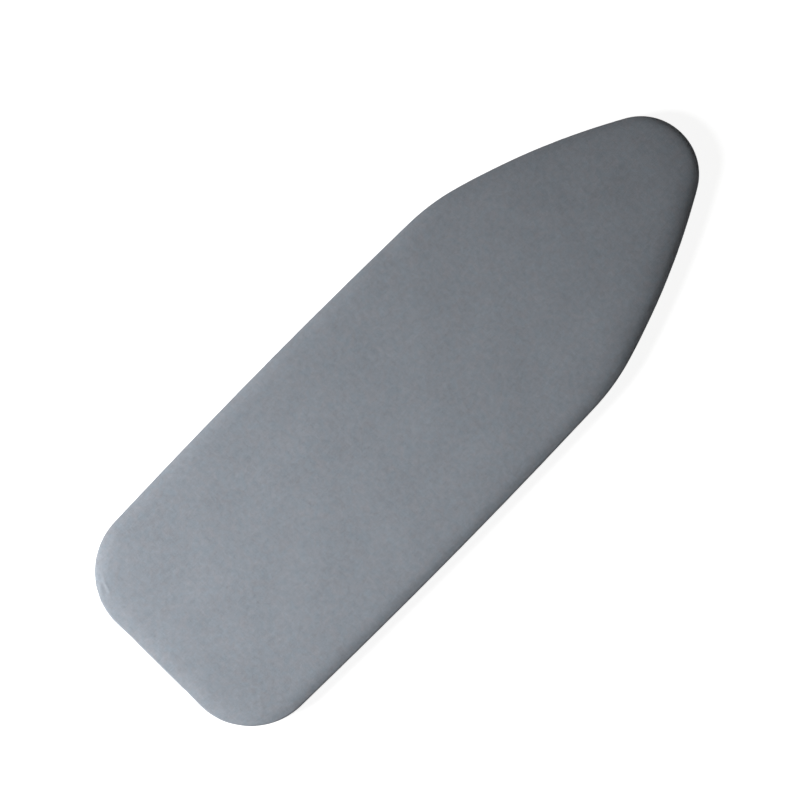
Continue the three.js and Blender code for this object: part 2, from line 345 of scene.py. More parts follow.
def half_outline():
    """Right half of the board's edge from the tail's middle to the nose.

    Gives points, outward normals, fold numbers and how strongly each place is gathered.
    """
    side = np.array([BOARD_WIDTH / 2 - SIDE_RADIUS, WIDEST_FROM_TAIL])
    drop = TAIL_RADIUS - WIDEST_FROM_TAIL
    tail = np.array([side[0] + math.sqrt((SIDE_RADIUS - TAIL_RADIUS) ** 2 - drop**2), TAIL_RADIUS])
    turn = math.asin((BOARD_LENGTH - SHOULDER_FROM_NOSE - WIDEST_FROM_TAIL) / SIDE_RADIUS)
    reach = SIDE_RADIUS - SHOULDER_RADIUS
    shoulder = side + reach * np.array([math.cos(turn), math.sin(turn)])
    nose = np.array([0.0, BOARD_LENGTH - NOSE_RADIUS])
    first, second = TAPER_RADIUS - SHOULDER_RADIUS, TAPER_RADIUS - NOSE_RADIUS
    line = nose - shoulder
    apart = np.linalg.norm(line)
    line = line / apart
    along = (first**2 - second**2 + apart**2) / (2 * apart)
    aside = math.sqrt(first**2 - along**2)
    taper = shoulder + line * along + np.array([-line[1], line[0]]) * aside

    def angle(centre, point):
        return math.atan2(point[1] - centre[1], point[0] - centre[0])

    tail_end = angle(side, tail)
    shoulder_end = angle(taper, shoulder)
    taper_end = angle(taper, nose)
    arcs = [
        (tail, TAIL_RADIUS, -math.pi / 2, tail_end, TAIL_STEPS, TAIL_FOLDS),
        (side, SIDE_RADIUS, tail_end, turn, SIDE_STEPS, 0.0),
        (shoulder, SHOULDER_RADIUS, turn, shoulder_end, SHOULDER_STEPS, SHOULDER_FOLDS),
        (taper, TAPER_RADIUS, shoulder_end, taper_end, TAPER_STEPS, 0.0),
        (nose, NOSE_RADIUS, taper_end, math.pi / 2, NOSE_STEPS, NOSE_FOLDS),
    ]
    rows = [
        (tail[0] * step / TAIL_EDGE_STEPS, 0.0, 0.0, -1.0, 0.0, 0.0)
        for step in range(TAIL_EDGE_STEPS)
    ]
    for centre, radius, start, end, steps, folds in arcs:
        for step in range(0 if folds == TAIL_FOLDS else 1, steps + 1):
            share = step / steps
            turned = start + (end - start) * share
            n = (math.cos(turned), math.sin(turned))
            gathered = 1.0 if folds else 0.0
            rows.append(
                (centre[0] + radius * n[0], centre[1] + radius * n[1], *n, folds * share, gathered)
            )
    return np.array(rows)


def whole_outline():
    """Stations round the whole edge, counter-clockwise from the tail's middle."""
    right = half_outline()
    left = right[1:-1][::-1].copy()
    left[:, [0, 2]] *= -1
    rows = np.concatenate([right, left])
    rows[:, 1] -= BOARD_LENGTH / 2
    return rows[:, 0:2], rows[:, 2:4], rows[:, 4], rows[:, 5]


EDGE, NORMAL, FOLD, GATHERED = whole_outline()
COUNT = len(EDGE)


def around(array, steps):
    return np.roll(array, steps, axis=0)


def closed_line(line):
    return np.concatenate([line, line[:1]])


def walked_along(line):
    """Length walked along a line to each of its points."""
    legs = np.linalg.norm(np.diff(line, axis=0), axis=1)
    return np.concatenate([[0.0], np.cumsum(legs)])


def directions(line):
    ahead = np.gradient(line, axis=0)
    return ahead / np.linalg.norm(ahead, axis=1)[:, None]


def smoothed(values, passes):
    for _ in range(passes):
        values = (around(values, 1) + 2 * values + around(values, -1)) / 4
    return values


def steps_along(points):
    """Length walked round the outline to each station, and the whole length."""
    walked = walked_along(closed_line(points))
    return walked[:-1], walked[-1]


def ripple(walk, pitch, seed):
    """Smooth uneven values from -1 to 1 round the outline, that meet where it closes."""
    lengths, total = walk
    turns = 2 * math.pi * lengths / total
    radius = total / (2 * math.pi) / pitch
    return np.array(
        [noise.noise(Vector((radius * math.cos(a), radius * math.sin(a), seed))) for a in turns]
    )


HEM_EDGE = EDGE - NORMAL * HEM_REACH
WALK = steps_along(EDGE)
HEM_WALK = steps_along(HEM_EDGE)


def near_strap():
    """1 away from the straps, 0 where one is sewn to the hem."""
    clear = np.ones(COUNT)
    for y in (REAR_STRAP, FRONT_STRAP):
        away = np.abs(EDGE[:, 1] - y) - STRAP_CLEAR
        clear = np.minimum(clear, np.clip(away / STRAP_FADE, 0, 1))
    return np.where(np.abs(EDGE[:, 0]) > SIDES_FROM, clear, 1.0)


def gather_rise():
    """How far the hem is drawn up at each station."""
    pull = smoothed(GATHERED, GATHER_BLUR)
    wander = FOLD_WANDER * ripple(WALK, *WANDER_RIPPLE)
    wave = (1 - np.cos(2 * math.pi * (FOLD + wander * GATHERED))) / 2
    small = 0.5 + 0.5 * ripple(HEM_WALK, *SMALL_RIPPLE)
    uneven = 0.5 + 0.5 * ripple(HEM_WALK, *FOLD_RIPPLE)
    folds = FOLD_RISE * wave * (FOLD_EVEN + FOLD_UNEVEN * uneven)
    rise = pull * (folds + SMALL_RISE * small)
    ruche = RUCHE_LEAST + RUCHE_UNEVEN * ripple(HEM_WALK, *RUCHE_RIPPLE)
    rise = rise + (1 - pull) * RUCHE_RISE * np.clip(ruche, 0, 1) * near_strap()
    return smoothed(rise, 1)


RISE = gather_rise()
PULL = smoothed(GATHERED, PULL_BLUR)


def arc_points(u, z, radius, start, end, steps):
    turned = np.radians(np.linspace(start, end, steps + 1))
    return [(u + radius * math.cos(a), z + radius * math.sin(a)) for a in turned]


def ring(u, z):
    """Points of one line round the outline; u and z may vary along it."""
    flat = EDGE + NORMAL * np.reshape(u, (-1, 1))
    return np.column_stack([flat, np.broadcast_to(z, COUNT)])


def new_object(name, data):
    obj = bpy.data.objects.new(name, data)
    SCENE.collection.objects.link(obj)
    return obj


def piece(name, points, faces, material, flat):
    """A mesh object from points in millimetres, with its cut's flat places as an attribute."""
    mesh = bpy.data.meshes.new(name)
    mesh.from_pydata((np.asarray(points) * MM).tolist(), [], [tuple(f) for f in faces])
    held = mesh.attributes.new("flat", "FLOAT_VECTOR", "POINT")
    held.data.foreach_set("vector", np.asarray(flat, np.float32).ravel())
    mesh.polygons.foreach_set("use_smooth", [True] * len(mesh.polygons))
    mesh.materials.append(material)
    mesh.update()
    return new_object(name, mesh)


def grid_faces(rows, columns, close_rows=False):
    """Quads between neighbouring rows of points, each of which is closed."""
    faces = []
    for r in range(rows if close_rows else rows - 1):
        below = (r + 1) % rows
        for c in range(columns):
            beside = (c + 1) % columns
            corners = ((r, c), (below, c), (below, beside), (r, beside))
            faces.append(tuple(row * columns + column for row, column in corners))
    return faces


def end_faces(rows, columns):
    """Faces that close both ends of a tube of rows of points."""
    last = (rows - 1) * columns
    return [tuple(range(columns))[::-1], tuple(range(last, last + columns))]


def tube_faces(rows, columns):
    return grid_faces(rows, columns) + end_faces(rows, columns)


def tidy_mesh(obj, merge=0.0):
    """Merges points that lie together and makes the faces of a closed mesh point outwards."""
    work = bmesh.new()
    work.from_mesh(obj.data)
    if merge:
        bmesh.ops.remove_doubles(work, verts=work.verts, dist=merge * MM)
    bmesh.ops.recalc_face_normals(work, faces=work.faces)
    work.to_mesh(obj.data)
    work.free()
    obj.data.update()


def assign(obj, body, nodes=()):
    """Says which body a piece moves with and the nodes that it stands for."""
    if body:
        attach(obj, body)
    if nodes:
        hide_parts(*nodes)


def add_part(name, made, y, material, body, nodes=(), merge=0.0):
    """A piece from points, faces and flat places, moved along the board to y."""
    points, faces, flats = made
    obj = piece(name, np.asarray(points) + (0.0, y, 0.0), faces, material, flats)
    tidy_mesh(obj, merge)
    assign(obj, body, nodes)
    return obj


def apply_modifiers(obj):
    """Keeps the shape that the modifiers give, and none of the modifiers."""
    graph = bpy.context.evaluated_depsgraph_get()
    graph.update()
    made = bpy.data.meshes.new_from_object(obj.evaluated_get(graph))
    obj.modifiers.clear()
    obj.data = made


# Materials.


def empty_tree(owner):
    owner.use_nodes = True
    owner.node_tree.nodes.clear()
    return owner.node_tree


def new_material(name):
    material = bpy.data.materials.new(name)
    return material, empty_tree(material)


def new_cloth(name):
    """A material, its tree, and the millimetres along and across the cut."""
    material, tree = new_material(name)
    place = add(tree, "Attribute", attribute_name="flat").outputs["Vector"]
    return material, tree, place


def add(tree, kind, inputs=None, **settings):
    """A node of a kind, with its settings and its inputs set or linked."""
    made = tree.nodes.new("ShaderNode" + kind)
    for key, value in settings.items():
        setattr(made, key, value)
    for key, value in (inputs or {}).items():
        if isinstance(value, bpy.types.NodeSocket):
            tree.links.new(value, made.inputs[key])
        else:
            made.inputs[key].default_value = value
    return made


def maths(tree, operation, *values):
    return add(tree, "Math", dict(enumerate(values)), operation=operation).outputs[0]


def scaled(tree, vector, factors):
    made = add(tree, "VectorMath", {0: vector, 1: factors}, operation="MULTIPLY")
    return made.outputs[0]


def noise_value(tree, vector, scale, detail=2.0, distortion=0.0):
    inputs = {"Vector": vector, "Scale": scale, "Detail": detail, "Distortion": distortion}
    return add(tree, "TexNoise", inputs).outputs[0]


def along_across(tree, place):
    return add(tree, "SeparateXYZ", {0: place}).outputs[:2]


def waves(tree, value, pitch):
    return maths(tree, "SINE", maths(tree, "MULTIPLY", value, 2 * math.pi / pitch))


def ridges(tree, value, pitch):
    """Waves from 0 to 1."""
    return maths(tree, "MULTIPLY_ADD", waves(tree, value, pitch), 0.5, 0.5)


def weighted(tree, *pairs):
    """Sum of values about one half, each with its weight, about one half."""
    total = 0.5
    for value, weight in pairs:
        centred = maths(tree, "SUBTRACT", value, 0.5)
        total = maths(tree, "MULTIPLY_ADD", centred, weight, total)
    return total


def mixed(tree, share, first, second):
    """Colour between two colours."""
    inputs = {0: share, 6: first, 7: second}
    return add(tree, "Mix", inputs, data_type="RGBA", clamp_factor=True).outputs[2]


def finish_material(tree, shade, colour, height, depth, rough, sheen):
    """Joins colour, height and roughness to a shader; the roughness falls as the shade rises."""
    bump = add(tree, "Bump", {"Height": height, "Strength": 0.6, "Distance": depth * MM})
    low, high = rough
    spread = add(tree, "MapRange", {0: shade, 3: high, 4: low}).outputs[0]
    shader = add(
        tree,
        "BsdfPrincipled",
        {
            "Base Color": colour,
            "Roughness": spread,
            "Normal": bump.outputs[0],
            "Specular IOR Level": 0.25,
            "Sheen Weight": sheen,
            "Sheen Roughness": 0.5,
        },
    )
    out = add(tree, "OutputMaterial", {"Surface": shader.outputs[0]})
    out.is_active_output = True


def toned(tree, shade, colour, spread):
    """A colour that goes from darker to lighter with the shade."""
    dark, light = (tuple(c * k for c in colour) + (1.0,) for k in (1 - spread, 1 + spread))
    return mixed(tree, shade, dark, light)


def woven_face():
    """Fine plain weave with slubs, a heather of cool and warm yarns and a rim lightened by wear and
    painted highlight.
    """
    material, tree, place = new_cloth("woven_face")
    lines = [waves(tree, value, YARN_PITCH) for value in along_across(tree, place)]
    weave = maths(tree, "MULTIPLY", *lines)
    along = noise_value(tree, scaled(tree, place, (1.1, 0.07, 1.0)), 1.0, 3.0)
    across = noise_value(tree, scaled(tree, place, (0.07, 1.1, 1.0)), 1.0, 3.0)
    heather = noise_value(tree, place, 0.6, 4.0)
    mottle = noise_value(tree, place, 0.15, 3.0, 0.6)
    dye = noise_value(tree, place, 0.016, 2.0, 0.4)
    # Lighter rim: partly wear, partly a painted highlight where the cloth bends over the board's
    # edge.
    rim = add(tree, "Attribute", attribute_name="wear_and_highlight").outputs["Fac"]
    wear_and_highlight = maths(tree, "MULTIPLY_ADD", maths(tree, "MULTIPLY", rim, heather), 0.35, 0.5)
    shade = weighted(
        tree, (along, 0.3), (across, 0.3), (heather, 0.45), (mottle, 0.48), (dye, 0.3), (wear_and_highlight, 0.2)
    )
    height = maths(tree, "MULTIPLY_ADD", weave, 0.5, maths(tree, "MULTIPLY", heather, 0.8))
    tint = weighted(tree, (noise_value(tree, place, 0.1, 3.0, 1.0), 2.4))
    cool = toned(tree, shade, FACE_COOL, 0.34)
    warm = toned(tree, shade, FACE_WARM, 0.34)
    colour = mixed(tree, tint, warm, cool)
    finish_material(tree, shade, colour, height, depth=0.12, rough=(0.8, 0.95), sheen=0.1)
    return material


def foam_cells():
    material, tree, place = new_cloth("foam_cells")
    cells = add(tree, "TexVoronoi", {"Vector": place, "Scale": 1.1}).outputs["Distance"]
    tint = noise_value(tree, place, 0.05, 3.0)
    shade = weighted(tree, (cells, 0.5), (tint, 0.6))
    colour = toned(tree, shade, FOAM_COLOUR, 0.16)
    finish_material(tree, shade, colour, cells, depth=0.4, rough=(0.85, 0.98), sheen=0.05)
    return material


def felt_fibres():
    """Needled felt: matted fibres in all directions, with a few darker ones."""
    material, tree, place = new_cloth("felt_fibres")
    mat = noise_value(tree, place, 0.7, 6.0, 2.2)
    long_fibres = noise_value(tree, scaled(tree, place, (0.9, 0.12, 1.0)), 1.0, 4.0, 1.5)
    cross_fibres = noise_value(tree, scaled(tree, place, (0.12, 0.9, 1.0)), 1.0, 4.0, 1.5)
    clouds = noise_value(tree, place, 0.03, 3.0)
    shade = weighted(tree, (mat, 0.9), (long_fibres, 0.8), (cross_fibres, 0.8), (clouds, 0.5))
    colour = toned(tree, shade, FELT_COLOUR, 0.2)
    finish_material(tree, shade, colour, shade, depth=0.5, rough=(0.9, 1.0), sheen=0.2)
    return material


def ribbed_tape(name, colour, pitch, slant, depth, spread=0.25):
    """Narrow woven tape: ribs at a slant, with the fuzz of spun yarn."""
    material, tree, place = new_cloth(name)
    along, across = along_across(tree, place)
    ribs = ridges(tree, maths(tree, "MULTIPLY_ADD", across, slant, along), pitch)
    yarn = ridges(tree, across, pitch * 0.8)
    fuzz = noise_value(tree, place, 1.6, 4.0)
    tint = noise_value(tree, place, 0.08, 2.0)
    shade = weighted(tree, (ribs, 0.35), (yarn, 0.25), (fuzz, 0.7), (tint, 0.5))
    height = weighted(tree, (ribs, 0.8), (yarn, 0.5), (fuzz, 0.4))
    tone = toned(tree, shade, colour, spread)
    finish_material(tree, shade, tone, height, depth, rough=(0.75, 0.95), sheen=0.15)
    return material


def spun_thread(name, colour):
    material, tree, place = new_cloth(name)
    along, across = along_across(tree, place)
    plies = ridges(tree, maths(tree, "MULTIPLY_ADD", across, 1.4, along), 0.5)
    fuzz = noise_value(tree, place, 3.0, 3.0)
    shade = weighted(tree, (plies, 0.6), (fuzz, 0.5))
    tone = toned(tree, shade, colour, 0.25)
    finish_material(tree, shade, tone, plies, depth=0.1, rough=(0.5, 0.7), sheen=0.2)
    return material


FACE_LOOK = woven_face()


# Face cloth.


def eased(values):
    share = np.clip(values, 0, 1)
    return share * share * (3 - 2 * share)


def edge_section(low, *tilts):
    """Distances from the board and heights of a padded edge, from its top down to its wall."""
    arcs = np.cumsum([arc for arc, _ in tilts])
    fine = np.linspace(0, arcs[-1], CURVE_STEPS)
    tilt = np.radians(np.interp(fine, arcs, [turned for _, turned in tilts]))
    middle = (tilt[1:] + tilt[:-1]) / 2
    legs = np.cos(middle) * fine[1], np.sin(middle) * fine[1]
    inward, up = (np.concatenate([[0], np.cumsum(leg)]) for leg in legs)
    heights = low + np.interp(EDGE_DISTANCES, inward, up)
    return np.column_stack([FACE_OUT - EDGE_DISTANCES, heights])[::-1]


EDGE_CURVES = [edge_section(*edge) for edge in (SIDE_EDGE, TAIL_EDGE, TAPER_EDGE, NOSE_EDGE)]


def edge_shares():
    """Share that each of the four edge curves has at each station."""
    tail = eased((-NORMAL[:, 1] - TAIL_FACING) / TAIL_TURN)
    nose = eased((NORMAL[:, 1] - NOSE_FACING) / NOSE_TURN)
    taper = eased((EDGE[:, 1] - TAPER_FROM) / (TAPER_TO - TAPER_FROM)) * (1 - nose)
    return np.array([1 - tail - taper - nose, tail, taper, nose])


EDGE_SHARES = edge_shares()


def inset(section, distance):
    """A section's points moved inwards, square to its curve."""
    ahead = directions(section)
    return np.asarray(section) + distance * np.column_stack([ahead[:, 1], -ahead[:, 0]])


def edge_rings(distance):
    """Rings of the padded edge from its top down to its wall, moved in by a distance."""
    curves = [inset(curve, distance) for curve in EDGE_CURVES]
    return [ring(*(np.array(points).T @ EDGE_SHARES)) for points in zip(*curves)]


def top_rings(rim, rings, rise):
    """Rings of a padded top from its spine out to its rim."""
    spine_y = np.clip(rim[:, 1], SPINE_TAIL, SPINE_NOSE)
    level = np.interp(spine_y, *spine_levels(rim))
    made = []
    for share in (np.linspace(0, 1, rings + 1) ** TOP_SPACING)[:-1]:
        flat = np.column_stack([np.zeros(COUNT), spine_y])
        flat += (rim[:, 0:2] - flat) * share
        z = rim[:, 2] + (level + rise - rim[:, 2]) * (1 - share * share)
        made.append(np.column_stack([flat, z]))
    return made


def spine_levels(rim):
    """Heights of the rim along the right side, by which the spine's heights go."""
    right = rim[: COUNT // 2 + 1]
    order = np.argsort(right[:, 1])
    return right[order, 1], right[order, 2]


def slow_waves(points, size, seed):
    return np.array([noise.noise(Vector((p[0] / size, p[1] / size, seed))) for p in points])


def lower_section():
    """Face below its edge: u, z, share of the wall's drop, of the rise and of the pucker."""
    roll_z = HEM_LOW + ROLL_RADIUS
    roll_u = FACE_OUT - ROLL_RADIUS
    rows = [(FACE_OUT, roll_z, 1 - share, 0.0, WALL_PUCKER * share) for share in WALL_SHARES]
    for u, z in arc_points(roll_u, roll_z, ROLL_RADIUS, 0, -90, ROLL_STEPS):
        pucker = WALL_PUCKER + (1 - WALL_PUCKER) * (roll_z - z) / ROLL_RADIUS
        rows.append((u, z, 0.0, 0.0, pucker))
    for share in np.linspace(0, 1, RETURN_STEPS + 1)[1:]:
        u = roll_u + (HEM_START - roll_u) * share
        rows.append((u, HEM_LOW, 0.0, share**RETURN_BEND, 1 - share))
    for share in (0.5, 1.0):
        rows.append((HEM_START + (HEM_END - HEM_START) * share, HEM_LOW, 0.0, 1.0, 0.0))
    return rows


def creased(places):
    """Height that the creases add at places on the top."""
    height = np.zeros(len(places))
    for line, high, wide in CREASES:
        line = np.array(line)
        nearest = np.full(len(places), np.inf)
        faded = np.zeros(len(places))
        for k, (start, end) in enumerate(zip(line[:-1], line[1:])):
            leg = end - start
            share = np.clip((places - start) @ leg / (leg @ leg), 0, 1)
            away = np.linalg.norm(places - start - share[:, None] * leg, axis=1)
            along = (k + share) / (len(line) - 1)
            closer = away < nearest
            nearest = np.where(closer, away, nearest)
            fade = np.sin(math.pi * (CREASE_END + (1 - 2 * CREASE_END) * along))
            faded = np.where(closer, fade, faded)
        height += high * faded * np.exp(-((nearest / wide) ** 2))
    return height


def face_points():
    """Points of the face's outside, ring by ring, with their flat places."""
    edge = edge_rings(0.0)
    rings = top_rings(edge[0], TOP_RINGS, SPINE_RISE) + edge
    puckers = 0.5 + 0.5 * ripple(WALK, *PUCKER_RIPPLE)
    slow = 0.5 + 0.5 * ripple(WALK, *SLOW_RIPPLE)
    wall = edge[-1][:, 2] - HEM_LOW - ROLL_RADIUS
    for u, z, drop, rise, pucker in lower_section():
        push = pucker * (PULL * PUCKER * puckers + (1 - PULL) * SLOW_PUCKER * slow)
        rings.append(ring(u + push, z + drop * wall + rise * RISE))
    points = np.concatenate(rings)
    uneven = TOP_LIFT + WIDE_SWELL_HIGH * slow_waves(points, *WIDE_SWELL)
    uneven += SMALL_SWELL_HIGH * slow_waves(points, *SMALL_SWELL)
    on_top = eased((points[:, 2] - RIM_HEIGHT) / SWELL_FADE)
    points[:, 2] += (uneven + creased(points[:, 0:2])) * on_top
    return points, flat_rings(rings[TOP_RINGS:], rings[:TOP_RINGS]), len(rings)


def wear_and_highlight_share(rings):
    """How much each ring of the face is lightened, partly as wear and partly as a painted
    highlight: most where it bends over the board's edge.
    """
    share = np.zeros(rings)
    edge = EDGE_DISTANCES[::-1]
    wall = TOP_RINGS + len(edge)
    share[TOP_RINGS:wall] = np.exp(-(((edge - WEAR_HIGHLIGHT_PLACE) / WEAR_HIGHLIGHT_WIDTH) ** 2))
    share[wall:] = WEAR_HIGHLIGHT_WALL * WEAR_HIGHLIGHT_FADE ** np.arange(1, rings - wall + 1)
    return share


def flat_rings(sides, top):
    """Where each point lies in the flat cut: the top as it is, the sides unrolled round it."""
    flats = [np.column_stack([r[:, 0:2], np.zeros(COUNT)]) for r in top]
    run = np.zeros(COUNT)
    start = sides[0][:, 0:2]
    for before, after in zip([sides[0]] + sides[:-1], sides):
        run = run + np.linalg.norm(after - before, axis=1)
        flats.append(np.column_stack([start + NORMAL * run[:, None], np.zeros(COUNT)]))
    return np.concatenate(flats)


def vertex_values(mesh, key):
    values = np.zeros(len(mesh.vertices) * 3, np.float32)
    mesh.vertices.foreach_get(key, values)
    return values.reshape(-1, 3)


def settle(cloth, rings, first_free, last_free):
    """Lets the cloth between the rim and the hem buckle as the elastic draws it in.

    The cloth there is cut larger than the room it has, so it grows a little while the top and
    the hem are held. A wall point only moves outwards, clear of the foam, and none far.
    """
    mesh = cloth.data
    count = len(mesh.vertices)
    row = np.zeros(count, np.float32)
    mesh.attributes["row"].data.foreach_get("value", row)
    start = vertex_values(mesh, "co")
    out = vertex_values(mesh, "normal")
    work = new_object("settling", mesh.copy())
    work.data.vertices.foreach_set("co", (start * SIM_SCALE).ravel())
    free = (row > first_free) & (row < last_free)
    held = work.vertex_groups.new(name="held")
    held.add(np.nonzero(~free)[0].tolist(), 1.0, "REPLACE")
    kept = work.vertex_groups.new(name="kept")
    share = np.clip((row - first_free) / (rings - first_free), 0, 1)
    for k in range(count):
        kept.add([k], float(1 - share[k]), "REPLACE")
    sim = work.modifiers.new("cloth", "CLOTH")
    cut = sim.settings
    for key, value in CLOTH.items():
        setattr(cut, key, value)
    cut.effector_weights.gravity = 0.0
    sim.collision_settings.use_collision = False
    for step in range(1, SIM_FRAMES + 1):
        SCENE.frame_set(step)
    graph = bpy.context.evaluated_depsgraph_get()
    end = vertex_values(work.evaluated_get(graph).to_mesh(), "co") / SIM_SCALE
    bpy.data.objects.remove(work)
    SCENE.frame_set(1)
    moved = end - start
    square = (moved * out).sum(1)
    beside = moved - square[:, None] * out
    length = np.linalg.norm(beside, axis=1)
    beside *= (np.minimum(length, SLIDE_MOST * MM) / np.maximum(length, TINY))[:, None]
    below = np.clip((PAD_END * MM - start[:, 2]) / (SWELL_CHANGE * MM), 0, 1)
    square = np.clip(square, -DROP_MOST * MM * below, (WALL_SWELL + RETURN_SWELL * below) * MM)
    end = start + beside + square[:, None] * out
    end[:, 2] = np.maximum(end[:, 2], LOWEST * MM)
    mesh.vertices.foreach_set("co", np.where(free[:, None], end, start).astype(np.float32).ravel())
    mesh.update()


def make_face():
    points, flat, rings = face_points()
    faces = grid_faces(rings, COUNT)
    face = piece("face_cloth", points, faces, FACE_LOOK, flat)
    # The rim's lightening, partly wear and partly a painted highlight, is kept on each point.
    for key, values in (("wear_and_highlight", wear_and_highlight_share(rings)), ("row", np.arange(rings))):
        held = face.data.attributes.new(key, "FLOAT", "POINT")
        held.data.foreach_set("value", np.repeat(values, COUNT).astype(np.float32))
    tidy_mesh(face, MERGE)
    first_free = TOP_RINGS + len(EDGE_DISTANCES) - HELD_EDGE_RINGS
    settle(face, rings, first_free, rings - HELD_HEM_RINGS)
    face.data.attributes.remove(face.data.attributes["row"])
    thick = face.modifiers.new("thickness", "SOLIDIFY")
    thick.thickness = FACE_THICKNESS * MM
    thick.offset = -1.0
    apply_modifiers(face)
    assign(face, "cover", ["face_fabric"])
    return face, flat[-COUNT:]


FACE, FACE_CUT = make_face()


# Layers under the face.


def swept(section):
    return [ring(u, z) for u, z in section]


def layer(name, outside, inside, rise, material, node, slot):
    """A closed padded layer from the rings of its outside and inside, both from the top down."""
    outer_top = top_rings(outside[0], PAD_RINGS, rise)
    inner_top = top_rings(inside[0], PAD_RINGS, 0.0)
    rings = outer_top + outside + inside[::-1] + inner_top[::-1]
    front = flat_rings(outside, outer_top)
    back = flat_rings(inside, inner_top).reshape(-1, COUNT, 3)[::-1].reshape(-1, 3)
    back[:, 2] = INSIDE
    pick = np.arange(0, COUNT, 2)
    points = np.concatenate([r[pick] for r in rings])
    flat = np.concatenate([front, back]).reshape(-1, COUNT, 3)[:, pick].reshape(-1, 3)
    made = (points, grid_faces(len(rings), len(pick)), flat)
    return add_part(name, made, 0.0, material, "cover", [node], MERGE), front[-COUNT:]


def round_rim(distance):
    """Section over the board's rim at a distance from it."""
    return arc_points(-RIM_RADIUS, RIM_HEIGHT, RIM_RADIUS + distance, 90, 0, RIM_STEPS)


def make_foam():
    middle = (FOAM_OUT + FOAM_IN) / 2
    outside = edge_rings(FACE_THICKNESS + PAD_GAP)
    outside += swept([
        (FOAM_OUT, FOAM_TURN_OUT),
        (FOAM_OUT - FOAM_ROUND, PAD_TURN),
        (middle + FOAM_ROUND, PAD_END),
    ])
    inside = round_rim(FOAM_IN)
    inside += [
        (FOAM_IN, FOAM_TURN_IN),
        (FOAM_IN + FOAM_ROUND, PAD_TURN),
        (middle - FOAM_ROUND, PAD_END),
    ]
    inside = swept(inside)
    return layer("foam_layer", outside, inside, SPINE_RISE, foam_cells(), "foam_pad", "foam")


def make_felt():
    outside = round_rim(FELT_OUT)
    outside += [(FELT_OUT, FELT_TURN), (FELT_OUT - FELT_ROUND, PAD_END)]
    inside = round_rim(FELT_IN)
    inside += [(FELT_IN, FELT_TURN), (FELT_IN + FELT_ROUND, PAD_END)]
    sides = swept(outside), swept(inside)
    return layer("felt_layer", *sides, 0.0, felt_fibres(), "felt_backing", "felt")


FOAM, _ = make_foam()
FELT, FELT_CUT = make_felt()


# Hem: binding tape, elastic and stitches.


def hem_band(name, section, material, nodes):
    """A band of closed section round the hem, drawn up with the gathers."""
    rings = [ring(u, z + RISE) for u, z in section]
    runs = walked_along(section)
    flats = [np.column_stack([HEM_WALK[0], np.full(COUNT, run), np.zeros(COUNT)]) for run in runs]
    faces = grid_faces(len(rings), COUNT, close_rows=True)
    made = (np.concatenate(rings), faces, np.concatenate(flats))
    return add_part(name, made, 0.0, material, "cover", nodes)


def binding_section():
    """Tape folded round the mouth's edge: its outside, then its inside."""
    radius = BINDING_HEIGHT / 2
    fold_u = -HEM_REACH + radius
    lip = BINDING_START
    outer_steps, inner_steps = FOLD_STEPS
    outside = [(lip, BINDING_HEIGHT - LIP_HIGH), (lip - LIP_WIDE, BINDING_HEIGHT)]
    outside += [(u, BINDING_HEIGHT) for u in BINDING_STOPS]
    outside += arc_points(fold_u, radius, radius, 90, 270, outer_steps)
    outside += [(u, 0.0) for u in BINDING_STOPS[::-1]]
    outside += [(lip - LIP_WIDE, 0.0), (lip, LIP_HIGH)]
    inside = [(lip, TAPE), (BINDING_INSIDE, TAPE)]
    inside += arc_points(fold_u, radius, radius - TAPE, 270, 90, inner_steps)
    inside += [(BINDING_INSIDE, BINDING_HEIGHT - TAPE), (lip, BINDING_HEIGHT - TAPE)]
    return outside, inside


def elastic_section():
    inner = -HEM_REACH + TAPE + ELASTIC_GAP
    outer, low = inner + ELASTIC_WIDTH, TAPE + ELASTIC_GAP
    across = np.linspace(outer, inner, ELASTIC_RIBS)
    ribs = [ELASTIC_RIB * (k % 2) for k in range(ELASTIC_RIBS)]
    upper = [(u, low + ELASTIC_THICK - rib) for u, rib in zip(across, ribs)]
    lower = [(u, low + rib) for u, rib in zip(across, ribs)]
    return upper + lower[::-1]


def thread_pieces(lines, length, gap, width):
    """Stitches along lines of (points, up directions); each stitch is a bar with sunken ends."""
    points, faces, flats = [], [], []
    bar = tube_faces(len(STITCH_BAR), STITCH_SIDES)
    for path, ups in lines:
        path, ups = np.asarray(path, float), np.asarray(ups, float)
        walked = walked_along(path)
        count = max(1, int((walked[-1] + gap) / (length + gap)))
        pitch = walked[-1] / count

        def at(distance, values):
            return np.array([np.interp(distance, walked, values[:, k]) for k in range(3)])

        for k in range(count):
            start = k * pitch + gap / 2
            end = (k + 1) * pitch - gap / 2
            base = len(points)
            for share, size, lift in STITCH_BAR:
                distance = start + (end - start) * share
                middle, up = at(distance, path), at(distance, ups)
                ahead = at(min(distance + STITCH_LOOK, walked[-1]), path)
                ahead -= at(max(distance - STITCH_LOOK, 0), path)
                ahead /= max(np.linalg.norm(ahead), TINY)
                side = np.cross(ahead, up)
                for corner in range(STITCH_SIDES):
                    a = 2 * math.pi * corner / STITCH_SIDES
                    reach = side * math.cos(a) + up * (STITCH_FLAT * math.sin(a) + lift)
                    points.append(middle + reach * size * width / 2)
                    flats.append((distance, a * width / 2, 0.0))
            faces.extend(tuple(base + k for k in face) for face in bar)
    return points, faces, flats


DOWN = (0.0, 0.0, -1.0)
UP = (0.0, 0.0, 1.0)


def straight(start, end, up):
    steps = max(2, int(np.linalg.norm(np.subtract(end, start))))
    line = np.linspace(start, end, steps + 1)
    return line, np.tile(up, (len(line), 1))


